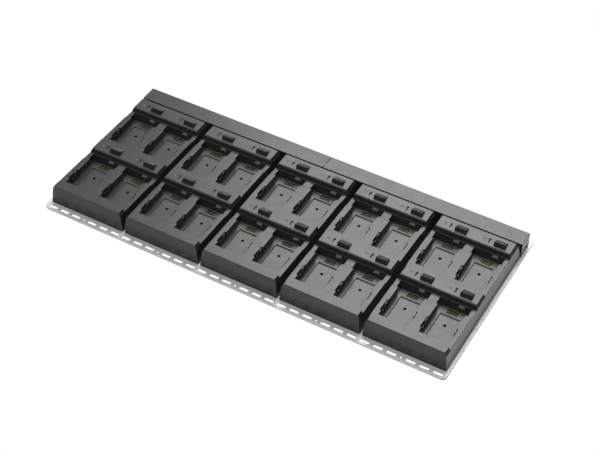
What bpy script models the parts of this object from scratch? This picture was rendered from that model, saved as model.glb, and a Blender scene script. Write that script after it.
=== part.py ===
"""Twenty-bay charging station for wireless bodypacks.

Five identical charger modules stand side by side on a sheet-metal tray, with a
power bar behind them. Each module is one housing with two rows of two bays.
A pack lies in a bay on five spring contacts, between two side clips, and is
held by the tongue of a release slide, which a finger pushes to the back.

Units are metres, +Z up. The origin is the middle of the footprint, at the
height of the feet. Inside a module, x runs from its middle, y from the front
edge of its top and z from the top of the tray.
"""
import math

import bmesh
import bpy
from mathutils import Vector

MM = 0.001
GAP = 0.3 * MM                  # clearance between pieces that touch

# Driving dimensions
MODULES = 5
PITCH = 128.0 * MM              # module to module
BAY_X = 29.77 * MM              # bay centre, each side of the module's middle
ROW_PITCH = 107.64 * MM         # front bay to rear bay
BASE_HALF = 62.3 * MM           # half width of a module at the tray
SIDE_DRAFT = 2.9 / 26.5         # the sides lean in by this much per unit height
TOP_Z = 32.0 * MM               # top of the ledge and of both crossbars
RAIL_FRONT_Z = 28.1 * MM        # rails beside a bay, at their front
RAIL_MID_Z = 26.7 * MM          # ... at the small step
RAIL_STEP = 1.1 * MM
RAIL_BACK_Z = 24.7 * MM         # ... where they meet the crossbar
LEDGE_DEPTH = 10.6 * MM
BASE_FRONT_Y = -3.2 * MM
BASE_BACK_Y = 233.6 * MM
STEP_Y = 73.8 * MM
LIP_Y = 91.7 * MM               # lower front edge of the crossbar
LIP_TOP_Y = 94.3 * MM
BAR_FRONT_Y = 96.0 * MM         # front edge of the crossbar's flat top
REAR_BAR_BACK_Y = 225.9 * MM
BAR_END_X = 56.76 * MM          # half width of a crossbar's top
BAR_END_Z = 26.0 * MM           # where its sloping ends start

POCKET_HALF = 20.5 * MM
POCKET_WIDE_HALF = 23.3 * MM
POCKET_FRONT_Y = 18.8 * MM
POCKET_WIDE_Y = 77.0 * MM
POCKET_FOOT_Y = 87.0 * MM       # foot of the leaning rear wall
POCKET_BACK_Y = 91.2 * MM
FLOOR_Z = 14.0 * MM
PANEL_Z = 12.3 * MM             # shallow recess in the middle of the floor
PANEL_HALF = 14.4 * MM
PANEL_BACK_Y = 75.6 * MM
PANEL_HOLE_Y = 57.4 * MM
PANEL_HOLE_R = 2.15 * MM

CLIP_SLOT_Y = (27.0 * MM, 48.4 * MM)
CLIP_SLOT_Z = 14.0 * MM
CLIP_SLOT_DEPTH = 2.4 * MM
CLIP_PAD_X = (20.8 * MM, 22.0 * MM)  # thick rear end of a clip, from the bay's middle
CLIP_PAD_Y = (39.8 * MM, 46.2 * MM)
CLIP_TOP_Z = 26.9 * MM
CLIP_ARM_X = (21.2 * MM, 21.7 * MM)  # thin arm that falls to the tip in front
CLIP_TIP_X = (20.4 * MM, 21.6 * MM)
CLIP_TIP_Y = (31.8 * MM, 34.5 * MM)
CLIP_TIP_Z = (17.0 * MM, 22.5 * MM)

CONTACTS = 5
CONTACT_PITCH = 2.8 * MM
CONTACT_WIDTH = 0.9 * MM
CONTACT_SLOT_HALF = 7.5 * MM
CONTACT_SLOT_Y = (77.4 * MM, 84.9 * MM)

SLIDE_X = 8.9 * MM              # slide's middle, right of the bay's middle
SLIDE_HALF = 8.6 * MM
SLIDE_TOP_Z = 38.0 * MM
SLIDE_Y = (98.6 * MM, 112.0 * MM)
STEM_Y = (102.3 * MM, 106.9 * MM)
RIBS = 5
RIB_DEPTH = 0.8 * MM
TONGUE_X = 8.45 * MM
TONGUE_HALF = 4.45 * MM
TONGUE_TIP_Y = 88.9 * MM
TONGUE_Z = (20.2 * MM, 23.2 * MM)
TONGUE_SLOPE = 2.6 * MM
TRAVEL = 3.0 * MM
LIGHT_X = -16.2 * MM
LIGHT_Y = 106.3 * MM
LIGHT_R = 1.65 * MM

CAVITY_TOP_Z = 7.2 * MM
CAVITY_HALF = 58.5 * MM
CAVITY_Y = (0.5 * MM, 229.5 * MM)
BAR_CAVITY_HALF = 53.0 * MM
BAR_CAVITY_Y = (95.5 * MM, 115.7 * MM)
BAR_CAVITY_Z = 29.7 * MM
LEDGE_CAVITY_Y = (2.5 * MM, 9.0 * MM)
BOARD_Z = (3.4 * MM, 5.0 * MM)
COVER_TOP_Z = 2.1 * MM
WEB_Z = (5.3 * MM, 5.9 * MM)     # web of the light guide, above the board
CLIP_FRAME_Z = (6.2 * MM, 6.9 * MM)
CLIP_X = 21.6 * MM              # a clip's stem, from the bay's middle
CLIP_STEM_Y = (40.2 * MM, 45.8 * MM)

TRAY_HALF_X = 322.7 * MM
TRAY_Y = (-16.8 * MM, 275.5 * MM)
TRAY_THICKNESS = 1.2 * MM
TRAY_RIM = 3.0 * MM
TRAY_CORNER = 7.0 * MM
TRAY_TOP_Z = 5.0 * MM           # above the bench
SLOT_LENGTH = 15.0 * MM
SLOT_WIDTH = 4.0 * MM
SLOT_Y = -10.8 * MM
SLOT_X = (14.1 * MM, 34.1 * MM, 54.3 * MM)
FOOT_R = 8.0 * MM

POWER_BAR_HALF = 318.9 * MM
POWER_BAR_FRONT_Y = (234.6 * MM, 235.3 * MM)
POWER_BAR_BACK_Y = 261.2 * MM
POWER_BAR_Z = 24.5 * MM
BAR_HEEL = 2.0 * MM              # the bar's back wall tucks in by this at its foot
BAR_HEEL_Z = 7.0 * MM
WALL = 2.0 * MM
SOCKET_Y = 253.0 * MM
SOCKET_Z = 4.75 * MM
SOCKET_R = 4.4 * MM
SOCKET_LENGTH = 14.0 * MM
BASE_END_X = POWER_BAR_HALF - SOCKET_LENGTH - 2.0 * MM

# The datum of every y above is the front edge of the modules' top
DATUM_Y = -0.5 * (TRAY_Y[0] + TRAY_Y[1])


def half_width(z):
    """Half width of a module's drafted body at a height."""
    return BASE_HALF - SIDE_DRAFT * z


def clear_scene():
    for item in list(bpy.data.objects):
        bpy.data.objects.remove(item, do_unlink=True)


def material(name, colour, roughness, metallic=0.0):
    mat = bpy.data.materials.new(name)
    mat.use_nodes = True
    shader = mat.node_tree.nodes["Principled BSDF"]
    shader.inputs["Base Color"].default_value = (*colour, 1.0)
    shader.inputs["Roughness"].default_value = roughness
    shader.inputs["Metallic"].default_value = metallic
    return mat


def add_prism(bm, outline, start, end, axis):
    """Extrude a closed outline along an axis ('X' takes (y, z), 'Z' takes (x, y))."""
    def place(point, depth):
        if axis == "X":
            return Vector((depth, point[0], point[1]))
        return Vector((point[0], point[1], depth))

    rings = [[bm.verts.new(place(p, d)) for p in outline] for d in (start, end)]
    faces = [bm.faces.new(rings[0]), bm.faces.new(rings[1])]
    count = len(outline)
    for k in range(count):
        nxt = (k + 1) % count
        faces.append(bm.faces.new((rings[0][k], rings[0][nxt], rings[1][nxt], rings[1][k])))
    bmesh.ops.recalc_face_normals(bm, faces=faces)
    return rings


def add_box(bm, x, y, z):
    outline = ((x[0], y[0]), (x[1], y[0]), (x[1], y[1]), (x[0], y[1]))
    return add_prism(bm, outline, z[0], z[1], "Z")


def circle(cx, cy, radius, sides):
    return [(cx + radius * math.cos(2 * math.pi * (k + 0.5) / sides),
             cy + radius * math.sin(2 * math.pi * (k + 0.5) / sides)) for k in range(sides)]


def stadium(cx, cy, length, width, steps=3):
    """Outline of a slot with round ends, along x."""
    points = []
    for side, turn in ((1, -0.5), (-1, 0.5)):
        for k in range(steps + 1):
            angle = math.pi * (turn + k / steps)
            points.append((cx + side * 0.5 * (length - width) + 0.5 * width * math.cos(angle),
                           cy + 0.5 * width * math.sin(angle)))
    return points


def rounded_rectangle(x, y, radius, steps=4):
    points = []
    corners = ((x[1] - radius, y[1] - radius, 0.0), (x[0] + radius, y[1] - radius, 0.5),
               (x[0] + radius, y[0] + radius, 1.0), (x[1] - radius, y[0] + radius, 1.5))
    for cx, cy, turn in corners:
        for k in range(steps + 1):
            angle = math.pi * (turn + 0.5 * k / steps)
            points.append((cx + radius * math.cos(angle), cy + radius * math.sin(angle)))
    return points


def finish(name, bm, mat, parent=None, location=(0.0, 0.0, 0.0)):
    """Turn a bmesh into a named object under its parent."""
    mesh = bpy.data.meshes.new(name)
    bm.to_mesh(mesh)
    bm.free()
    obj = bpy.data.objects.new(name, mesh)
    bpy.context.scene.collection.objects.link(obj)
    if mat is not None:
        mesh.materials.append(mat)
    obj.parent = parent
    obj.location = location
    return obj


def empty(name, location):
    obj = bpy.data.objects.new(name, None)
    bpy.context.scene.collection.objects.link(obj)
    obj.location = location
    return obj


def combine(target, operation, name, build):
    """Boolean a helper solid into a target; build(bm) adds its closed solids."""
    bm = bmesh.new()
    build(bm)
    helper = finish(name, bm, None, target.parent)
    helper.hide_render = True
    helper.display_type = "WIRE"
    modifier = target.modifiers.new(name, "BOOLEAN")
    modifier.operation = operation
    modifier.solver = "EXACT"
    modifier.object = helper


def bays():
    """(letter, x of the bay's middle, y of its row) for the four bays of a module."""
    places = []
    for row in range(2):
        for column in range(2):
            letter = "abcd"[2 * row + column]
            places.append((letter, (-BAY_X, BAY_X)[column], row * ROW_PITCH))
    return places


def row_profile(offset, back_y):
    """Rails and crossbar of one row, seen from the side, front to back."""
    return [(offset + LEDGE_DEPTH, RAIL_FRONT_Z), (offset + STEP_Y, RAIL_MID_Z),
            (offset + STEP_Y, RAIL_MID_Z - RAIL_STEP), (offset + LIP_Y, RAIL_BACK_Z),
            (offset + LIP_TOP_Y, TOP_Z - 1.1 * MM), (offset + BAR_FRONT_Y, TOP_Z),
            (back_y, TOP_Z)]


def body_outline():
    outline = [(BASE_FRONT_Y, GAP), (0.0, TOP_Z), (LEDGE_DEPTH, TOP_Z)]
    outline += row_profile(0.0, ROW_PITCH + LEDGE_DEPTH)
    outline += row_profile(ROW_PITCH, REAR_BAR_BACK_Y)
    outline += [(REAR_BAR_BACK_Y + 3.6 * MM, RAIL_BACK_Z), (BASE_BACK_Y, GAP)]
    return outline


def pocket_outline(front):
    """Side view of the pocket's hollow, from a front plane to the leaning rear wall."""
    high = TOP_Z + 8 * MM
    return [(front, FLOOR_Z), (POCKET_FOOT_Y, FLOOR_Z),
            (POCKET_BACK_Y, RAIL_BACK_Z - 0.3 * MM), (POCKET_BACK_Y, high), (front, high)]


def shifted(outline, dy):
    return [(y + dy, z) for y, z in outline]


def cut_bar_ends(bm):
    """Wedges that give the ledge and the crossbars their sloping ends."""
    slope = (half_width(BAR_END_Z) - BAR_END_X) / (TOP_Z - BAR_END_Z)
    top = TOP_Z + 8 * MM
    out = BASE_HALF + 5 * MM
    spans = ((-8 * MM, LEDGE_DEPTH), (88 * MM, ROW_PITCH + LEDGE_DEPTH),
             (ROW_PITCH + 88 * MM, REAR_BAR_BACK_Y + 12 * MM))
    for side in (-1, 1):
        points = [(half_width(BAR_END_Z), BAR_END_Z), (out, BAR_END_Z), (out, top),
                  (BAR_END_X - slope * (top - TOP_Z), top)]
        for y0, y1 in spans:
            rings = [[bm.verts.new((side * x, y, z)) for x, z in points] for y in (y0, y1)]
            faces = [bm.faces.new(rings[0]), bm.faces.new(rings[1])]
            for k in range(4):
                nxt = (k + 1) % 4
                faces.append(bm.faces.new((rings[0][k], rings[0][nxt],
                                           rings[1][nxt], rings[1][k])))
            bmesh.ops.recalc_face_normals(bm, faces=faces)


def cut_pockets(bm):
    for _, x, dy in bays():
        outline = shifted(pocket_outline(POCKET_FRONT_Y), dy)
        add_prism(bm, outline, x - POCKET_HALF, x + POCKET_HALF, "X")


def cut_wide_pockets(bm):
    for _, x, dy in bays():
        outline = shifted(pocket_outline(POCKET_WIDE_Y), dy)
        add_prism(bm, outline, x - POCKET_WIDE_HALF, x + POCKET_WIDE_HALF, "X")


def cut_panels(bm):
    high = FLOOR_Z + 1 * MM
    rise = high - PANEL_Z       # the recess ends in a slope at its rear
    outline = [(POCKET_FRONT_Y, PANEL_Z), (PANEL_BACK_Y - rise, PANEL_Z),
               (PANEL_BACK_Y, high), (POCKET_FRONT_Y, high)]
    for _, x, dy in bays():
        add_prism(bm, shifted(outline, dy), x - PANEL_HALF, x + PANEL_HALF, "X")


def cut_cavity(bm):
    add_box(bm, (-CAVITY_HALF, CAVITY_HALF), CAVITY_Y, (-2 * MM, CAVITY_TOP_Z))


def cut_bar_cavities(bm):
    low = CAVITY_TOP_Z - 2 * MM
    across = (-BAR_CAVITY_HALF, BAR_CAVITY_HALF)
    add_box(bm, across, LEDGE_CAVITY_Y, (low, BAR_CAVITY_Z))
    for row in range(2):
        span = [y + row * ROW_PITCH for y in BAR_CAVITY_Y]
        add_box(bm, across, span, (low, BAR_CAVITY_Z))


def cut_bay_openings(bm):
    """Panel hole, contact slot, latch window, light hole and slide slot of each bay."""
    for _, x, dy in bays():
        add_prism(bm, circle(x, PANEL_HOLE_Y + dy, PANEL_HOLE_R, 12), 5 * MM, 15 * MM, "Z")
        add_box(bm, (x - CONTACT_SLOT_HALF, x + CONTACT_SLOT_HALF),
                [y + dy for y in CONTACT_SLOT_Y], (5 * MM, 15 * MM))
        add_box(bm, (x + TONGUE_X - 5.75 * MM, x + TONGUE_X + 5.75 * MM),
                (85 * MM + dy, 97 * MM + dy), (TONGUE_Z[0] - 0.8 * MM, TONGUE_Z[1] + 0.8 * MM))
        add_prism(bm, circle(x + LIGHT_X, LIGHT_Y + dy, LIGHT_R + GAP, 8),
                  28 * MM, 34 * MM, "Z")
        add_box(bm, (x + SLIDE_X - 5.6 * MM, x + SLIDE_X + 5.6 * MM),
                (STEM_Y[0] - 2 * GAP + dy, STEM_Y[1] + TRAVEL + 2 * GAP + dy),
                (28 * MM, 34 * MM))


def cut_clip_slots(bm):
    high = TOP_Z + 8 * MM
    for _, x, dy in bays():
        for side in (-1, 1):
            span = sorted((x + side * (POCKET_HALF - 0.5 * MM),
                           x + side * (POCKET_HALF + CLIP_SLOT_DEPTH)))
            add_box(bm, span, [y + dy for y in CLIP_SLOT_Y], (CLIP_SLOT_Z, high))


def cut_clip_stems(bm):
    """Narrow slots below the clips' windows, down to the cavity."""
    for _, x, dy in bays():
        for side in (-1, 1):
            span = sorted((x + side * (CLIP_X - 1.0 * MM), x + side * (CLIP_X + 1.0 * MM)))
            across = (CLIP_STEM_Y[0] - 0.5 * MM + dy, CLIP_STEM_Y[1] + 0.5 * MM + dy)
            add_box(bm, span, across, (CAVITY_TOP_Z - 2 * MM, CLIP_SLOT_Z + 1 * MM))


def make_housing(index, module, mat):
    bm = bmesh.new()
    rings = add_prism(bm, body_outline(), -1.0, 1.0, "X")
    for ring, side in zip(rings, (-1, 1)):
        for vert in ring:
            vert.co.x = side * half_width(vert.co.z)
    housing = finish(f"housing_{index}", bm, mat, module)
    combine(housing, "DIFFERENCE", f"cut_bar_ends_{index}", cut_bar_ends)
    combine(housing, "DIFFERENCE", f"cut_pockets_{index}", cut_pockets)
    combine(housing, "DIFFERENCE", f"cut_wide_pockets_{index}", cut_wide_pockets)
    combine(housing, "DIFFERENCE", f"cut_panels_{index}", cut_panels)
    combine(housing, "DIFFERENCE", f"cut_cavity_{index}", cut_cavity)
    combine(housing, "DIFFERENCE", f"cut_bar_cavities_{index}", cut_bar_cavities)
    combine(housing, "DIFFERENCE", f"cut_openings_{index}", cut_bay_openings)
    combine(housing, "DIFFERENCE", f"cut_clip_slots_{index}", cut_clip_slots)
    combine(housing, "DIFFERENCE", f"cut_clip_stems_{index}", cut_clip_stems)


def make_bottom_cover(index, module, mat):
    """Plate in the housing's open underside, with four posts under the board."""
    bm = bmesh.new()
    half = CAVITY_HALF - GAP
    add_box(bm, (-half, half), (CAVITY_Y[0] + GAP, CAVITY_Y[1] - GAP), (GAP, COVER_TOP_Z))
    cover = finish(f"bottom_cover_{index}", bm, mat, module)

    def posts(bm):
        for x in (-40 * MM, 40 * MM):
            for y in (40 * MM, 190 * MM):
                add_prism(bm, circle(x, y, 2.5 * MM, 6), 1 * MM, BOARD_Z[0] - GAP, "Z")

    combine(cover, "UNION", f"cover_posts_{index}", posts)


def strip_outline(line, thickness):
    """Closed outline of a bent strip round a centre line of (y, z) points."""
    left, right = [], []
    for k, point in enumerate(line):
        before = Vector(line[max(k - 1, 0)])
        after = Vector(line[min(k + 1, len(line) - 1)])
        along = (after - before).normalized()
        across = Vector((-along.y, along.x)) * 0.5 * thickness
        left.append(tuple(Vector(point) + across))
        right.append(tuple(Vector(point) - across))
    return left + right[::-1]


def make_board(index, module, mat):
    """Circuit board with five bent contact springs soldered on for each bay."""
    bm = bmesh.new()
    add_box(bm, (-50 * MM, 50 * MM), (8 * MM, 222 * MM), BOARD_Z)
    board = finish(f"circuit_board_{index}", bm, mat, module)
    line = [(84.4 * MM, BOARD_Z[1] - 0.4 * MM), (84.2 * MM, 12.6 * MM),
            (82.6 * MM, 14.3 * MM), (78.4 * MM, 12.9 * MM)]

    def springs(bm):
        for _, x, dy in bays():
            outline = shifted(strip_outline(line, 0.45 * MM), dy)
            for k in range(CONTACTS):
                middle = x + (k - (CONTACTS - 1) / 2) * CONTACT_PITCH
                add_prism(bm, outline, middle - 0.5 * CONTACT_WIDTH,
                          middle + 0.5 * CONTACT_WIDTH, "X")

    combine(board, "UNION", f"contact_springs_{index}", springs)


def make_clip_frame(index, module, mat):
    """Moulded frame above the board, with a clip standing up at each side of each bay."""
    bm = bmesh.new()
    half = BAY_X + CLIP_X + 0.7 * MM
    add_box(bm, (-half, half), (97.0 * MM, 101.0 * MM), CLIP_FRAME_Z)
    frame = finish(f"clip_frame_{index}", bm, mat, module)
    sides = [(x, side) for x in (-BAY_X, BAY_X) for side in (-1, 1)]

    def rails(bm):
        for x, side in sides:
            middle = x + side * CLIP_X
            add_box(bm, (middle - 0.7 * MM, middle + 0.7 * MM),
                    (CLIP_STEM_Y[0], CLIP_STEM_Y[1] + ROW_PITCH), CLIP_FRAME_Z)

    def stems(bm):
        for _, x, dy in bays():
            for side in (-1, 1):
                middle = x + side * CLIP_X
                add_box(bm, (middle - 0.5 * MM, middle + 0.5 * MM),
                        (CLIP_STEM_Y[0] + 0.3 * MM + dy, CLIP_STEM_Y[1] - 0.3 * MM + dy),
                        (CLIP_FRAME_Z[0] + 0.2 * MM, CLIP_TOP_Z - 1 * MM))

    def arms(bm):
        rear, front = CLIP_PAD_Y[1] - 0.5 * MM, CLIP_TIP_Y[0] + 0.5 * MM
        low = CLIP_TIP_Z[0] + 0.5 * MM
        outline = [(front, low), (rear, low), (rear, CLIP_TOP_Z - 0.6 * MM),
                   (CLIP_PAD_Y[0] - 0.4 * MM, CLIP_TOP_Z - 0.6 * MM),
                   (CLIP_TIP_Y[1], CLIP_TIP_Z[1] - 0.3 * MM), (front, CLIP_TIP_Z[1] - 0.3 * MM)]
        for _, x, dy in bays():
            for side in (-1, 1):
                span = sorted(x + side * v for v in CLIP_ARM_X)
                add_prism(bm, shifted(outline, dy), span[0], span[1], "X")

    def ends(bm):
        for _, x, dy in bays():
            for side in (-1, 1):
                add_box(bm, sorted(x + side * v for v in CLIP_PAD_X),
                        [y + dy for y in CLIP_PAD_Y], (CLIP_SLOT_Z + GAP, CLIP_TOP_Z))
                add_box(bm, sorted(x + side * v for v in CLIP_TIP_X),
                        [y + dy for y in CLIP_TIP_Y], CLIP_TIP_Z)

    combine(frame, "UNION", f"clip_rails_{index}", rails)
    combine(frame, "UNION", f"clip_stems_{index}", stems)
    combine(frame, "UNION", f"clip_arms_{index}", arms)
    combine(frame, "UNION", f"clip_ends_{index}", ends)


def make_light_guide(index, module, mat):
    """Clear moulding: four light pipes standing on a flat web above the board."""
    bm = bmesh.new()
    columns = (-BAY_X + LIGHT_X, BAY_X + LIGHT_X)
    add_box(bm, columns, (158 * MM, 161 * MM), WEB_Z)
    guide = finish(f"light_guide_{index}", bm, mat, module)

    def strips(bm):
        for x in columns:
            add_box(bm, (x - 1.2 * MM, x + 1.2 * MM),
                    (LIGHT_Y - 1.8 * MM, LIGHT_Y + ROW_PITCH + 1.8 * MM), WEB_Z)

    def pipes(bm):
        for _, x, dy in bays():
            add_prism(bm, circle(x + LIGHT_X, LIGHT_Y + dy, LIGHT_R, 8),
                      WEB_Z[0] + 0.2 * MM, TOP_Z + 0.15 * MM, "Z")

    combine(guide, "UNION", f"guide_strips_{index}", strips)
    combine(guide, "UNION", f"guide_pipes_{index}", pipes)


def add_thumb_cap(bm, origin, local):
    """Wedge for the thumb, with ribs that run down its rear slope."""
    rings = []
    for k in range(3 * RIBS + 1):
        cut = RIB_DEPTH if k % 3 == 0 else 0.0
        section = [(SLIDE_Y[0], TOP_Z + GAP), (SLIDE_Y[1] - cut, TOP_Z + GAP),
                   (SLIDE_Y[1] - cut, TOP_Z + 0.9 * MM),
                   (SLIDE_Y[0] + 5.4 * MM, SLIDE_TOP_Z - 0.8 * MM - cut),
                   (SLIDE_Y[0] + 3.9 * MM, SLIDE_TOP_Z),
                   (SLIDE_Y[0] + 3.2 * MM, SLIDE_TOP_Z - 0.2 * MM)]
        x = SLIDE_HALF * (2 * k / (3 * RIBS) - 1)
        rings.append([bm.verts.new(origin + Vector((x, y, z))) for y, z in local(section)])
    faces = [bm.faces.new(rings[0]), bm.faces.new(rings[-1])]
    for near, far in zip(rings, rings[1:]):
        for k in range(len(near)):
            nxt = (k + 1) % len(near)
            faces.append(bm.faces.new((near[k], near[nxt], far[nxt], far[k])))
    bmesh.ops.recalc_face_normals(bm, faces=faces)


def make_slide(index, bay, module, mat):
    """Release slide: thumb wedge, stem through the crossbar, carrier and tongue."""
    letter, x, dy = bay
    origin = Vector((x + SLIDE_X, 0.5 * (SLIDE_Y[0] + SLIDE_Y[1]) + dy, TOP_Z))

    def local(points):
        return [(y - origin.y + dy, z - origin.z) for y, z in points]

    carrier_z = (26.6 * MM, BAR_CAVITY_Z - 0.4 * MM)
    carrier_back = STEM_Y[1] + 1.6 * MM
    arm_y = (BAR_CAVITY_Y[0] + 0.4 * MM, BAR_CAVITY_Y[0] + 3.1 * MM)
    lower = [(TONGUE_TIP_Y, TONGUE_Z[0]), (arm_y[1], TONGUE_Z[0]), (arm_y[1], carrier_z[0]),
             (carrier_back, carrier_z[0]), (carrier_back, carrier_z[1]),
             (STEM_Y[1], carrier_z[1]), (STEM_Y[1], TOP_Z + 1 * MM),
             (STEM_Y[0], TOP_Z + 1 * MM), (STEM_Y[0], carrier_z[1]),
             (arm_y[0], carrier_z[1]), (arm_y[0], TONGUE_Z[1]),
             (TONGUE_TIP_Y + TONGUE_SLOPE, TONGUE_Z[1]),
             (TONGUE_TIP_Y, TONGUE_Z[0] + 0.4 * MM)]
    offset = TONGUE_X - SLIDE_X
    bm = bmesh.new()
    add_prism(bm, local(lower), offset - TONGUE_HALF, offset + TONGUE_HALF, "X")
    slide = finish(f"release_slide_{index}{letter}", bm, mat, module, origin)

    def cap(bm):
        add_thumb_cap(bm, origin, local)

    combine(slide, "UNION", f"slide_cap_{index}{letter}", cap)


def make_tray(mat):
    """Sheet with a turned-down rim and two kinds of hole along its front."""
    y = [v + DATUM_Y for v in TRAY_Y]
    outer = rounded_rectangle((-TRAY_HALF_X, TRAY_HALF_X), y, TRAY_CORNER)
    t = TRAY_THICKNESS
    inner = rounded_rectangle((-TRAY_HALF_X + t, TRAY_HALF_X - t), (y[0] + t, y[1] - t),
                              TRAY_CORNER - t)
    bm = bmesh.new()
    levels = ((outer, TRAY_TOP_Z), (outer, TRAY_TOP_Z - TRAY_RIM),
              (inner, TRAY_TOP_Z - TRAY_RIM), (inner, TRAY_TOP_Z - t))
    rings = [[bm.verts.new((px, py, z)) for px, py in ring] for ring, z in levels]
    faces = [bm.faces.new(rings[0]), bm.faces.new(rings[-1])]
    count = len(outer)
    for upper, lower in zip(rings, rings[1:]):
        for k in range(count):
            nxt = (k + 1) % count
            faces.append(bm.faces.new((upper[k], upper[nxt], lower[nxt], lower[k])))
    bmesh.ops.recalc_face_normals(bm, faces=faces)
    tray = finish("tray", bm, mat)

    def holes(bm):
        low, high = TRAY_TOP_Z - 3 * MM, TRAY_TOP_Z + 1 * MM
        for k in range(MODULES):
            middle = (k - (MODULES - 1) / 2) * PITCH
            add_prism(bm, circle(middle, SLOT_Y + DATUM_Y, 1.6 * MM, 8), low, high, "Z")
            for x in SLOT_X:
                for side in (-1, 1):
                    add_prism(bm, stadium(middle + side * x, SLOT_Y + DATUM_Y,
                                          SLOT_LENGTH, SLOT_WIDTH), low, high, "Z")

    combine(tray, "DIFFERENCE", "cut_tray_holes", holes)


def make_feet(mat):
    depth = 0.5 * (TRAY_Y[1] - TRAY_Y[0])
    corners = [(x, y) for y in (-1, 1) for x in (-1, 1)]
    for k, (x, y) in enumerate(corners):
        bm = bmesh.new()
        outline = circle(x * (TRAY_HALF_X - 26 * MM), y * (depth - 24 * MM), FOOT_R, 16)
        add_prism(bm, outline, 0.0, TRAY_TOP_Z - TRAY_THICKNESS - GAP, "Z")
        finish(f"rubber_foot_{k + 1}", bm, mat)


def bar_section(inset):
    """Side view of the power bar; inset 0 gives its outside, WALL its hollow."""
    front, top_front = POWER_BAR_FRONT_Y
    low = GAP if inset == 0 else -1 * MM
    lean = (top_front - front) / POWER_BAR_Z
    top = POWER_BAR_Z - inset
    back = POWER_BAR_BACK_Y - inset
    points = [(front + inset + lean * low, low), (front + inset + lean * top, top),
              (back, top), (back, BAR_HEEL_Z), (back - 0.8 * BAR_HEEL, 0.3 * BAR_HEEL_Z),
              (back - BAR_HEEL, low)]
    return [(y + DATUM_Y, z + TRAY_TOP_Z) for y, z in points]


def ring_along_x(y, z, radius, sides):
    return circle(y + DATUM_Y, z + TRAY_TOP_Z, radius, sides)


def make_bar_covers(mat):
    """Two covers, open below and where they meet in the middle."""
    for name, side in (("bar_cover_left", -1), ("bar_cover_right", 1)):
        ends = sorted((side * POWER_BAR_HALF, side * 0.5 * GAP))
        hollow_ends = sorted((side * (POWER_BAR_HALF - WALL), -side * WALL))
        bm = bmesh.new()
        add_prism(bm, bar_section(0), ends[0], ends[1], "X")
        cover = finish(name, bm, mat)

        def hollow(bm, span=hollow_ends):
            add_prism(bm, bar_section(WALL), span[0], span[1], "X")

        def mouth(bm):
            add_prism(bm, ring_along_x(SOCKET_Y, SOCKET_Z, SOCKET_R + GAP, 12),
                      POWER_BAR_HALF - 2 * WALL, POWER_BAR_HALF + WALL, "X")

        combine(cover, "DIFFERENCE", f"cut_{name}", hollow)
        if side > 0:
            combine(cover, "DIFFERENCE", "cut_socket_mouth", mouth)


def make_bar_base(mat):
    bm = bmesh.new()
    add_box(bm, (-BASE_END_X, BASE_END_X),
            (DATUM_Y + 237.6 * MM, DATUM_Y + POWER_BAR_BACK_Y - WALL - BAR_HEEL - GAP),
            (TRAY_TOP_Z + GAP, TRAY_TOP_Z + 1.9 * MM))
    finish("bar_base", bm, mat)


def make_power_board(mat):
    bm = bmesh.new()
    add_box(bm, (60 * MM, 290 * MM), (DATUM_Y + 240 * MM, DATUM_Y + 257 * MM),
            (TRAY_TOP_Z + 2.2 * MM, TRAY_TOP_Z + 3.8 * MM))
    board = finish("power_board", bm, mat)

    def components(bm):
        for x in (90 * MM, 150 * MM, 210 * MM, 262 * MM):
            add_box(bm, (x, x + 14 * MM), (DATUM_Y + 243 * MM, DATUM_Y + 254 * MM),
                    (TRAY_TOP_Z + 3.4 * MM, TRAY_TOP_Z + 13 * MM))

    combine(board, "UNION", "power_components", components)


def make_power_socket(mat):
    """Round inlet with a centre pin, flush in the bar's right-hand end."""
    bm = bmesh.new()
    end = POWER_BAR_HALF - 0.4 * MM
    add_prism(bm, ring_along_x(SOCKET_Y, SOCKET_Z, SOCKET_R, 12),
              end - SOCKET_LENGTH, end, "X")
    socket = finish("power_socket", bm, mat)

    def bore(bm):
        add_prism(bm, ring_along_x(SOCKET_Y, SOCKET_Z, 2.8 * MM, 12),
                  end - 11 * MM, end + WALL, "X")

    def pin(bm):
        add_prism(bm, ring_along_x(SOCKET_Y, SOCKET_Z, 1.0 * MM, 6),
                  end - 12 * MM, end - 2 * MM, "X")

    combine(socket, "DIFFERENCE", "cut_socket_bore", bore)
    combine(socket, "UNION", "socket_pin", pin)


def make_cable_tab(mat):
    """Small bent sheet tab behind the bar."""
    bm = bmesh.new()
    back = DATUM_Y + POWER_BAR_BACK_Y + 2.4 * MM
    thick = 1.2 * MM
    foot = TRAY_TOP_Z + GAP
    outline = ((back, foot), (back + 9 * MM, foot), (back + 9 * MM, foot + thick),
               (back + thick, foot + thick), (back + thick, foot + 14 * MM),
               (back, foot + 14 * MM))
    add_prism(bm, outline, POWER_BAR_HALF - 14 * MM, POWER_BAR_HALF - 1 * MM, "X")
    finish("cable_tab", bm, mat)


def main():
    clear_scene()
    black = material("black_plastic", (0.035, 0.035, 0.036), 0.45)
    dark = material("dark_plastic", (0.02, 0.02, 0.021), 0.5)
    steel = material("tray_steel", (0.62, 0.63, 0.65), 0.35, 0.9)
    board = material("circuit_board", (0.02, 0.12, 0.06), 0.5)
    clear = material("light_pipe", (0.8, 0.8, 0.8), 0.2)
    rubber = material("rubber", (0.02, 0.02, 0.02), 0.9)

    make_tray(steel)
    make_feet(rubber)
    for k in range(MODULES):
        place = ((k - (MODULES - 1) / 2) * PITCH, DATUM_Y, TRAY_TOP_Z)
        module = empty(f"module_{k + 1}", place)
        make_housing(k + 1, module, black)
        make_bottom_cover(k + 1, module, dark)
        make_board(k + 1, module, board)
        make_clip_frame(k + 1, module, black)
        make_light_guide(k + 1, module, clear)
        for bay in bays():
            make_slide(k + 1, bay, module, dark)
    make_bar_covers(black)
    make_bar_base(dark)
    make_power_board(board)
    make_power_socket(dark)
    make_cable_tab(steel)


main()
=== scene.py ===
"""Looks of the twenty-bay bodypack charging station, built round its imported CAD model."""
import math

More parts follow.
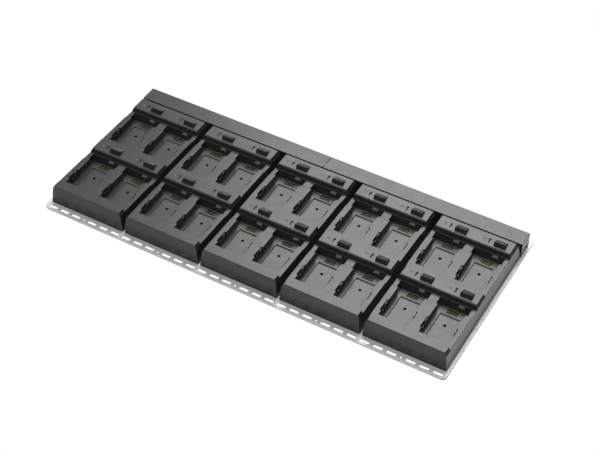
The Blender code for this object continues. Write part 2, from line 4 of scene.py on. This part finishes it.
import bmesh
import bpy
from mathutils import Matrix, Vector


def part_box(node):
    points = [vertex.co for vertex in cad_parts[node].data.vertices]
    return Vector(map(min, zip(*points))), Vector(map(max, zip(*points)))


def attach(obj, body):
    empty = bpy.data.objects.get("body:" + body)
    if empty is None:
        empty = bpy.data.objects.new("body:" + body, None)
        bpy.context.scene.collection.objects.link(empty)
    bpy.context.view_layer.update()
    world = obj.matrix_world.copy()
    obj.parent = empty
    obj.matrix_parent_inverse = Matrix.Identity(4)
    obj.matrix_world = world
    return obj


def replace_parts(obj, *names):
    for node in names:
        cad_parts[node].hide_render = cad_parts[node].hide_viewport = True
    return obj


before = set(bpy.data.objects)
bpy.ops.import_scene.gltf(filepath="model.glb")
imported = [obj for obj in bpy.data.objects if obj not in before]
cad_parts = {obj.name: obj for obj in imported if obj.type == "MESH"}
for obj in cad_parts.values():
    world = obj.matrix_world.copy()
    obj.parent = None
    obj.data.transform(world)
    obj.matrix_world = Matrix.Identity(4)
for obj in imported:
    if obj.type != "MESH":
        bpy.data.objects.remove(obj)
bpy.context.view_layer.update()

MM = 0.001
BASE = "base"
BAYS = "abcd"

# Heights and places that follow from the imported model
MODULES = sum(name.startswith("housing_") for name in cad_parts)
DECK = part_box("tray")[1].z                          # top of the tray's sheet
HOUSING_LOW, HOUSING_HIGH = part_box("housing_1")
TOP = HOUSING_HIGH.z                                # top of ledge and crossbars
FRONT_DRAFT = 3.2 * MM                              # how far a front leans back in all
LEDGE_Y = HOUSING_LOW.y + FRONT_DRAFT               # front edge of a module's top
BOARD_TOP = DECK + 5.2 * MM                         # board below, gold contacts above
TONGUE_TOP = TOP - 2 * MM                           # tongue below, thumb wedge above
SHEET = 1.2 * MM                                    # the tray's thickness

# Printed arrow beside each slide: x from the slide's left side, y from its rear edge
ARROW_X = -8.3 * MM
ARROW_TIP, ARROW_NECK, ARROW_TAIL = -0.6 * MM, -5.2 * MM, -10.8 * MM
SHAFT_HALF, HEAD_HALF = 1.0 * MM, 2.7 * MM
PRINT_Z = (TOP - 0.03 * MM, TOP + 0.04 * MM)

# Light pipe beside each arrow, placed from the slide in the same way
LENS_X, LENS_Y, LENS_R = -16.5 * MM, -5.7 * MM, 1.6 * MM
LENS_STEPS = 24
DOME_HEIGHT = 0.35 * MM
DOME_ANGLES = (0, 25, 50, 75)
WEB_THICKNESS, WEB_HALF = 0.6 * MM, 1.5 * MM

# Screws under the tray: distance in from the sides and ends of a module
SCREW_INSET_X, SCREW_INSET_Y = 22 * MM, 42 * MM
SCREW_STEPS = 20
# half a screw's section: radius, depth under the sheet
SCREW_PROFILE = ((0.5 * MM, 0.7 * MM), (1.0 * MM, 1.7 * MM), (1.9 * MM, 1.75 * MM),
                 (2.6 * MM, 1.4 * MM), (2.9 * MM, 0.8 * MM), (2.9 * MM, 0.0))

# Meshes: points to weld, edges to round, faces to shade as one
WELD = 0.002 * MM
ROUNDED_ABOVE = math.radians(10.0)
SMOOTH_BELOW = math.radians(35.0)
FLAT_FACE_WEIGHT = 100

# Materials: features per metre, depth, and the part of a noise's range in use
PLASTIC_GRAIN = 2600.0
GRAIN_DEPTH = 0.03 * MM
COLOUR_BAND = (0.35, 0.65)
GLOSS_BAND = (0.3, 0.7)

# Light: brightness of the room against elevation in degrees, and the soft light behind
ROOM = ((-90, 0.84), (-33, 0.84), (-22, 0.1), (-6, 0.05), (14, 0.07), (28, 0.3), (42, 0.85),
        (90, 0.9))
ROOM_STRENGTH = 1.35
LIGHT_DISTANCE = 2.6
# azimuth from +X, elevation, width, height, power
SOFT_LIGHTS = {"gloss_light": (105.5, 53.0, 1.4, 1.7, 41.0),
               "back_card": (98.0, 12.0, 1.6, 0.8, 13.0)}
FLOOR_HALF = 20.0
SURROUND_RADIUS = 40.0

# Camera: round to the right from the front, up, what it looks at, and its lens
CAMERA_AZIMUTH, CAMERA_ELEVATION = math.radians(30.0), math.radians(45.0)
CAMERA_TARGET = Vector((18.6 * MM, LEDGE_Y + 135.65 * MM, DECK))
CAMERA_DISTANCE = 2.03094
CAMERA_LENS, CAMERA_SENSOR = 84.93, 36.0
CAMERA_CLIP = (0.05, 100.0)


# ---------------------------------------------------------------- materials

def new_material(name, colour, roughness, metallic=0.0, specular=0.5):
    """Plain Principled material, with constants on the shader's own sockets."""
    mat = bpy.data.materials.new(name)
    mat.use_nodes = True
    shader = mat.node_tree.nodes["Principled BSDF"]
    shader.inputs["Base Color"].default_value = (*colour, 1.0)
    shader.inputs["Roughness"].default_value = roughness
    shader.inputs["Metallic"].default_value = metallic
    shader.inputs["Specular IOR Level"].default_value = specular
    return mat


def noise(mat, scale, detail=3.0, stretch=(1.0, 1.0, 1.0)):
    """Noise over the object's own coordinates; scale is in features per metre."""
    nodes, links = mat.node_tree.nodes, mat.node_tree.links
    place = nodes.new("ShaderNodeTexCoord")
    mapping = nodes.new("ShaderNodeMapping")
    mapping.inputs["Scale"].default_value = stretch
    texture = nodes.new("ShaderNodeTexNoise")
    texture.inputs["Scale"].default_value = scale
    texture.inputs["Detail"].default_value = detail
    links.new(place.outputs["Object"], mapping.inputs["Vector"])
    links.new(mapping.outputs["Vector"], texture.inputs["Vector"])
    return texture.outputs["Fac"]


def vary(mat, socket, factor, low, high):
    """Drive a shader socket from a noise, between two values or two colours."""
    nodes, links = mat.node_tree.nodes, mat.node_tree.links
    shader = nodes["Principled BSDF"]
    if socket == "Base Color":
        ramp = nodes.new("ShaderNodeValToRGB")
        for stop, position, colour in zip(ramp.color_ramp.elements, COLOUR_BAND, (low, high)):
            stop.position = position
            stop.color = (*colour, 1.0)
        links.new(factor, ramp.inputs["Fac"])
        links.new(ramp.outputs["Color"], shader.inputs[socket])
        return
    spread = nodes.new("ShaderNodeMapRange")
    spread.inputs["From Min"].default_value = GLOSS_BAND[0]
    spread.inputs["From Max"].default_value = GLOSS_BAND[1]
    spread.inputs["To Min"].default_value = low
    spread.inputs["To Max"].default_value = high
    links.new(factor, spread.inputs["Value"])
    links.new(spread.outputs["Result"], shader.inputs[socket])


def grain(mat, factor, strength, depth=GRAIN_DEPTH):
    """Bump from a noise; depth is the height of the grain in metres."""
    nodes, links = mat.node_tree.nodes, mat.node_tree.links
    bump = nodes.new("ShaderNodeBump")
    bump.inputs["Strength"].default_value = strength
    bump.inputs["Distance"].default_value = depth
    links.new(factor, bump.inputs["Height"])
    links.new(bump.outputs["Normal"], nodes["Principled BSDF"].inputs["Normal"])


def moulded_plastic(name, grey, roughness, specular=0.5, strength=0.05):
    """Moulded plastic: spark-eroded grain, faint cloudiness in colour and gloss."""
    mat = new_material(name, (grey, grey, grey * 1.02), roughness, specular=specular)
    cloud = noise(mat, 35.0)
    low, high = grey * 0.94, grey * 1.06
    vary(mat, "Base Color", cloud, (low, low, low * 1.02), (high, high, high * 1.02))
    vary(mat, "Roughness", noise(mat, 60.0), roughness - 0.03, roughness + 0.03)
    grain(mat, noise(mat, PLASTIC_GRAIN, 2.0), strength)
    return mat


def brushed(mat, low, high):
    """Fine drawn streaks in a metal's gloss, along x."""
    streaks = noise(mat, 700.0, 2.0, (1.0, 4.0, 1.0))
    vary(mat, "Roughness", streaks, low, high)
    grain(mat, streaks, 0.1, 0.02 * MM)


def make_materials():
    """Every material of the station, by a short name."""
    mats = {
        "housing": moulded_plastic("housing_plastic", 0.019, 0.31),
        "slide": moulded_plastic("slide_plastic", 0.016, 0.3),
        "tongue": moulded_plastic("tongue_plastic", 0.09, 0.45),
        "cover": moulded_plastic("cover_plastic", 0.012, 0.45),
        "print": moulded_plastic("arrow_print", 0.008, 0.7, specular=0.2),
        "lens": moulded_plastic("light_lens", 0.14, 0.4, specular=0.4, strength=0.03),
    }
    tray = new_material("tray_coat", (0.56, 0.57, 0.585), 0.3, 0.15)
    vary(tray, "Base Color", noise(tray, 25.0), (0.54, 0.55, 0.565), (0.58, 0.59, 0.605))
    vary(tray, "Roughness", noise(tray, 90.0), 0.27, 0.33)
    grain(tray, noise(tray, 350.0, 2.0), 0.012)
    mats["tray"] = tray

    # painted shade: a darker copy of the tray's coat for the sheet's faces that face left or
    # right
    edge = new_material("tray_side_painted_shade", (0.13, 0.135, 0.14), 0.45, 0.3)
    vary(edge, "Base Color", noise(edge, 25.0), (0.115, 0.12, 0.125), (0.145, 0.15, 0.155))
    vary(edge, "Roughness", noise(edge, 90.0), 0.4, 0.5)
    mats["tray_side_painted_shade"] = edge

    screw = new_material("screw_zinc", (0.6, 0.6, 0.62), 0.3, 1.0)
    brushed(screw, 0.25, 0.4)
    mats["screw"] = screw

    gold = new_material("contact_gold", (0.16, 0.11, 0.05), 0.4, 1.0)
    vary(gold, "Base Color", noise(gold, 300.0), (0.14, 0.095, 0.04), (0.18, 0.125, 0.06))
    vary(gold, "Roughness", noise(gold, 500.0), 0.34, 0.46)
    mats["gold"] = gold

    board = new_material("solder_resist", (0.006, 0.03, 0.015), 0.4)
    vary(board, "Base Color", noise(board, 200.0), (0.004, 0.02, 0.01), (0.008, 0.04, 0.02))
    vary(board, "Roughness", noise(board, 150.0), 0.35, 0.5)
    mats["board"] = board

    rubber = new_material("rubber", (0.025, 0.025, 0.025), 0.85, specular=0.3)
    vary(rubber, "Roughness", noise(rubber, 200.0), 0.78, 0.9)
    grain(rubber, noise(rubber, 1100.0), 0.25, 0.08 * MM)
    mats["rubber"] = rubber
    return mats


# ---------------------------------------------------------------- helpers

def link_mesh(name, mesh, mats, body=BASE):
    """Put a mesh in the scene as a piece that rides on a body, with even shading."""
    obj = bpy.data.objects.new(name, mesh)
    bpy.context.scene.collection.objects.link(obj)
    for mat in mats:
        mesh.materials.append(mat)
    mesh.shade_smooth()
    mesh.set_sharp_from_angle(angle=SMOOTH_BELOW)
    even = obj.modifiers.new("even_shading", "WEIGHTED_NORMAL")
    even.keep_sharp = True
    even.weight = FLAT_FACE_WEIGHT
    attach(obj, body)
    return obj


def to_mesh(name, bm):
    """Turn a bmesh into a mesh and let it go."""
    mesh = bpy.data.meshes.new(name)
    bm.to_mesh(mesh)
    bm.free()
    return mesh


def edge_angle(edge):
    """Angle that the surface turns through at an edge."""
    if len(edge.link_faces) != 2:
        return 0.0
    return edge.calc_face_angle(0.0)


def solid_copy(node):
    """A CAD node's solid, with the points that its triangles share welded."""
    bm = bmesh.new()
    bm.from_mesh(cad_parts[node].data)
    bmesh.ops.remove_doubles(bm, verts=bm.verts, dist=WELD)
    return bm


def skin(node, piece, mats, body=BASE, radius=0.0, pick=None):
    """A piece that stands for a CAD node: the same solid, its edges rounded by radius.

    pick gives the number of a face's material."""
    bm = solid_copy(node)
    if pick:
        for face in bm.faces:
            face.material_index = pick(face)
    if radius:
        edges = [edge for edge in bm.edges if edge_angle(edge) > ROUNDED_ABOVE]
        bmesh.ops.bevel(bm, geom=edges, offset=radius, segments=2, profile=0.5,
                        affect="EDGES", clamp_overlap=False)
    obj = link_mesh(piece, to_mesh(piece, bm), mats, body)
    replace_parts(obj, node)


def add_prism(bm, outline, low, high):
    """Upright prism over a closed outline of (x, y) points."""
    rings = [[bm.verts.new((x, y, z)) for x, y in outline] for z in (low, high)]
    faces = [bm.faces.new(rings[0]), bm.faces.new(rings[1])]
    for k in range(len(outline)):
        nxt = (k + 1) % len(outline)
        faces.append(bm.faces.new((rings[0][k], rings[0][nxt], rings[1][nxt], rings[1][k])))
    bmesh.ops.recalc_face_normals(bm, faces=faces)


def add_box(bm, x, y, z):
    """Box between two limits on each axis."""
    add_prism(bm, ((x[0], y[0]), (x[1], y[0]), (x[1], y[1]), (x[0], y[1])), z[0], z[1])


def add_lathe(bm, cx, cy, profile, steps):
    """Turn a profile of (radius, z) points round an upright axis; both ends close."""
    turns = [2 * math.pi * k / steps for k in range(steps)]
    rings = [[bm.verts.new((cx + r * math.cos(a), cy + r * math.sin(a), z)) for a in turns]
             for r, z in profile]
    faces = [bm.faces.new(rings[0]), bm.faces.new(rings[-1])]
    for near, far in zip(rings, rings[1:]):
        for k in range(steps):
            nxt = (k + 1) % steps
            faces.append(bm.faces.new((near[k], near[nxt], far[nxt], far[k])))
    bmesh.ops.recalc_face_normals(bm, faces=faces)


# ---------------------------------------------------------------- modules

def slide_corner(index, bay):
    """Left-hand, rear point of a release slide, which the bay's marks are placed from."""
    low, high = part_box(f"release_slide_{index}{bay}")
    return low.x, high.y


def build_arrows(index, mats):
    """Printed arrow to the left of each slide, pointing the way it moves."""
    bm = bmesh.new()
    for bay in BAYS:
        left, rear = slide_corner(index, bay)
        middle = left + ARROW_X
        tip, neck, tail = (rear + y for y in (ARROW_TIP, ARROW_NECK, ARROW_TAIL))
        outline = [(middle - SHAFT_HALF, tail), (middle + SHAFT_HALF, tail),
                   (middle + SHAFT_HALF, neck), (middle + HEAD_HALF, neck),
                   (middle, tip), (middle - HEAD_HALF, neck), (middle - SHAFT_HALF, neck)]
        add_prism(bm, outline, *PRINT_Z)
    name = f"bay_arrows_{index}"
    link_mesh(name, to_mesh(name, bm), [mats["print"]])


def build_lights(index, mats):
    """Light pipes with domed ends, on the web that joins them above the board."""
    low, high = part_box(f"light_guide_{index}")
    web = (low.z, low.z + WEB_THICKNESS)
    places = [(left + LENS_X, rear + LENS_Y)
              for left, rear in (slide_corner(index, bay) for bay in BAYS)]
    columns = sorted({round(x, 5) for x, _ in places})
    bm = bmesh.new()
    for x in columns:
        add_box(bm, (x - LENS_R, x + LENS_R), (low.y, high.y), web)
    middle = 0.5 * (low.y + high.y)
    add_box(bm, (columns[0] + LENS_R, columns[1] - LENS_R),
            (middle - WEB_HALF, middle + WEB_HALF), web)
    rim = high.z - DOME_HEIGHT
    dome = [(LENS_R * math.cos(a), rim + DOME_HEIGHT * math.sin(a))
            for a in (math.radians(d) for d in DOME_ANGLES)]
    for x, y in places:
        add_lathe(bm, x, y, [(LENS_R, web[1])] + dome, LENS_STEPS)
    name = f"module_lights_{index}"
    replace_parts(link_mesh(name, to_mesh(name, bm), [mats["lens"]]),
                f"light_guide_{index}")


def board_face(face):
    """Number of a board's material at a face: resist, then gold."""
    return int(face.calc_center_median().z > BOARD_TOP)


def slide_face(face):
    """Number of a slide's material at a face: thumb wedge, then the lighter tongue."""
    return int(face.calc_center_median().z < TONGUE_TOP)


def build_module(index, mats):
    """One charger module, with its four slides on bodies of their own."""
    skin(f"housing_{index}", f"module_shell_{index}", [mats["housing"]],
         radius=0.3 * MM)
    skin(f"circuit_board_{index}", f"module_board_{index}", [mats["board"], mats["gold"]],
         pick=board_face)
    skin(f"clip_frame_{index}", f"bay_clips_{index}", [mats["housing"]],
         radius=0.1 * MM)
    skin(f"bottom_cover_{index}", f"module_bottom_{index}", [mats["cover"]],
         radius=0.3 * MM)
    build_lights(index, mats)
    build_arrows(index, mats)
    for bay in BAYS:
        skin(f"release_slide_{index}{bay}", f"slide_{index}{bay}_body",
             [mats["slide"], mats["tongue"]], body=f"slide_{index}{bay}",
             radius=0.15 * MM, pick=slide_face)


# ---------------------------------------------------------------- tray and bar

def sheet_face(face):
    """Number of the sheet's material at a face: coat, then a darker, less glossy copy of the
    coat with painted shade, on the faces that face left or right."""
    return int(abs(face.normal.x) > 0.5)


def build_tray(mats):
    """Tray, feet and screws."""
    # faces that face left or right get the darker copy of the coat, painted shade on the
    # sheet's sides
    skin("tray", "tray_sheet", [mats["tray"], mats["tray_side_painted_shade"]],
         radius=0.3 * MM, pick=sheet_face)
    for k in range(1, 5):
        skin(f"rubber_foot_{k}", f"foot_{k}", [mats["rubber"]], radius=0.6 * MM)
    build_screws(mats)


def build_screws(mats):
    """Pan-head screws under the sheet, four to a module, each with a round recess."""
    under = DECK - SHEET
    profile = [(radius, under - depth) for radius, depth in SCREW_PROFILE]
    for index in range(1, MODULES + 1):
        low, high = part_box(f"housing_{index}")
        bm = bmesh.new()
        for x in (low.x + SCREW_INSET_X, high.x - SCREW_INSET_X):
            for y in (low.y + SCREW_INSET_Y, high.y - SCREW_INSET_Y):
                add_lathe(bm, x, y, profile, SCREW_STEPS)
        name = f"tray_screws_{index}"
        link_mesh(name, to_mesh(name, bm), [mats["screw"]])


def build_bar(mats):
    """Power bar behind the modules, and the tab behind it."""
    for side in ("left", "right"):
        skin(f"bar_cover_{side}", f"power_cover_{side}", [mats["housing"]],
             radius=0.45 * MM)
    skin("bar_base", "power_base", [mats["cover"]], radius=0.3 * MM)
    skin("power_board", "power_supply_board", [mats["board"]])
    skin("power_socket", "power_inlet", [mats["cover"]], radius=0.15 * MM)
    skin("cable_tab", "cable_tab_metal", [mats["tray"]], radius=0.15 * MM)


# ---------------------------------------------------------------- stage

def glowing_stage(name, mesh):
    """A white surface that only the camera sees, so it throws no light on the object."""
    mat = bpy.data.materials.new(name)
    mat.use_nodes = True
    shader = mat.node_tree.nodes["Principled BSDF"]
    shader.inputs["Base Color"].default_value = (0.0, 0.0, 0.0, 1.0)
    shader.inputs["Specular IOR Level"].default_value = 0.0
    shader.inputs["Emission Color"].default_value = (1.0, 1.0, 1.0, 1.0)
    shader.inputs["Emission Strength"].default_value = 1.0
    mesh.materials.append(mat)
    obj = bpy.data.objects.new(name, mesh)
    bpy.context.scene.collection.objects.link(obj)
    obj.visible_diffuse = obj.visible_glossy = obj.visible_shadow = False


def build_stage():
    """Plain white floor and the white surround behind it."""
    bm = bmesh.new()
    bmesh.ops.create_grid(bm, x_segments=1, y_segments=1, size=FLOOR_HALF)
    glowing_stage("floor", to_mesh("floor", bm))
    bm = bmesh.new()
    bmesh.ops.create_uvsphere(bm, u_segments=32, v_segments=16, radius=SURROUND_RADIUS)
    glowing_stage("surround", to_mesh("surround", bm))


def area_light(name, azimuth, elevation, width, height, power):
    """Rectangular light that faces the object from a direction."""
    data = bpy.data.lights.new(name, "AREA")
    data.shape = "RECTANGLE"
    data.size, data.size_y = width, height
    data.energy = power
    lamp = bpy.data.objects.new(name, data)
    bpy.context.scene.collection.objects.link(lamp)
    turn, rise = math.radians(azimuth), math.radians(elevation)
    outward = Vector((math.cos(turn) * math.cos(rise), math.sin(turn) * math.cos(rise),
                      math.sin(rise)))
    lamp.location = LIGHT_DISTANCE * outward
    lamp.rotation_euler = (-outward).to_track_quat("-Z", "Y").to_euler()
    lamp.visible_camera = False


def build_world():
    """Soft room: light from above and from the pale floor, dim near the horizon."""
    world = bpy.data.worlds.new("studio")
    world.use_nodes = True
    nodes, links = world.node_tree.nodes, world.node_tree.links
    place = nodes.new("ShaderNodeTexCoord")
    parts = nodes.new("ShaderNodeSeparateXYZ")
    height = nodes.new("ShaderNodeMapRange")
    height.inputs["From Min"].default_value = -1.0
    ramp = nodes.new("ShaderNodeValToRGB")
    stops = ramp.color_ramp.elements
    while len(stops) < len(ROOM):
        stops.new(0.5)
    for stop, (elevation, level) in zip(stops, ROOM):
        stop.position = 0.5 + 0.5 * math.sin(math.radians(elevation))
        stop.color = (level, level, level, 1.0)
    links.new(place.outputs["Generated"], parts.inputs["Vector"])
    links.new(parts.outputs["Z"], height.inputs["Value"])
    links.new(height.outputs["Result"], ramp.inputs["Fac"])
    background = nodes["Background"]
    links.new(ramp.outputs["Color"], background.inputs["Color"])
    background.inputs["Strength"].default_value = ROOM_STRENGTH
    bpy.context.scene.world = world


def build_light():
    """The room and the soft lights."""
    build_world()
    for name, settings in SOFT_LIGHTS.items():
        area_light(name, *settings)
    bpy.context.scene.view_settings.view_transform = "Standard"


def build_camera():
    """Long lens, from the front right and above."""
    level = math.cos(CAMERA_ELEVATION)
    back = Vector((math.sin(CAMERA_AZIMUTH) * level, -math.cos(CAMERA_AZIMUTH) * level,
                   math.sin(CAMERA_ELEVATION)))
    data = bpy.data.cameras.new("camera")
    data.lens = CAMERA_LENS
    data.sensor_width = CAMERA_SENSOR
    data.clip_start, data.clip_end = CAMERA_CLIP
    camera = bpy.data.objects.new("camera", data)
    bpy.context.scene.collection.objects.link(camera)
    camera.location = CAMERA_TARGET + back * CAMERA_DISTANCE
    camera.rotation_mode = "QUATERNION"
    camera.rotation_quaternion = (-back).to_track_quat("-Z", "Y")
    bpy.context.scene.camera = camera


materials = make_materials()
for number in range(1, MODULES + 1):
    build_module(number, materials)
build_tray(materials)
build_bar(materials)
build_stage()
build_light()
build_camera()
